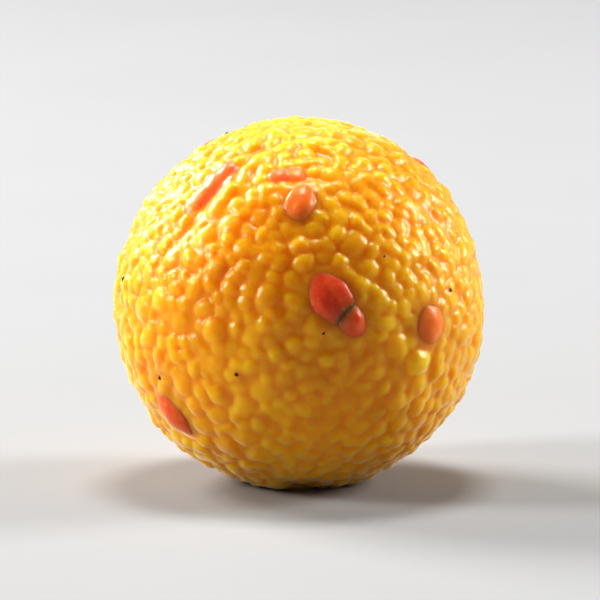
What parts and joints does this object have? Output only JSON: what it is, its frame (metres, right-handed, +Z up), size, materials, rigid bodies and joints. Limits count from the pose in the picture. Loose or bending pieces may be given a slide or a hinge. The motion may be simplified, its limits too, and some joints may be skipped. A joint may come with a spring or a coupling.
{
  "type": "ladoo",
  "caption": "Boondi ladoo: a hand-rolled round sweet of small fried gram-flour pearls bound with syrup, some of them red, resting on a small flat spot.",
  "frame": {"origin": "the middle of the ball's footprint, in the plane of the small flat spot that it stands on", "axes": "+Z up, -Y out of the side that the picture shows, +X to the viewer's right of that side"},
  "size_m": [0.0457, 0.0455, 0.0448],
  "materials": {
    "boondi": "moist satin, golden yellow",
    "red_boondi": "moist satin, food-colour red",
    "cardamom": "dull, dark brown"
  },
  "bodies": {
    "root": {"ladoo": "boondi"}
  },
  "joints": []
}
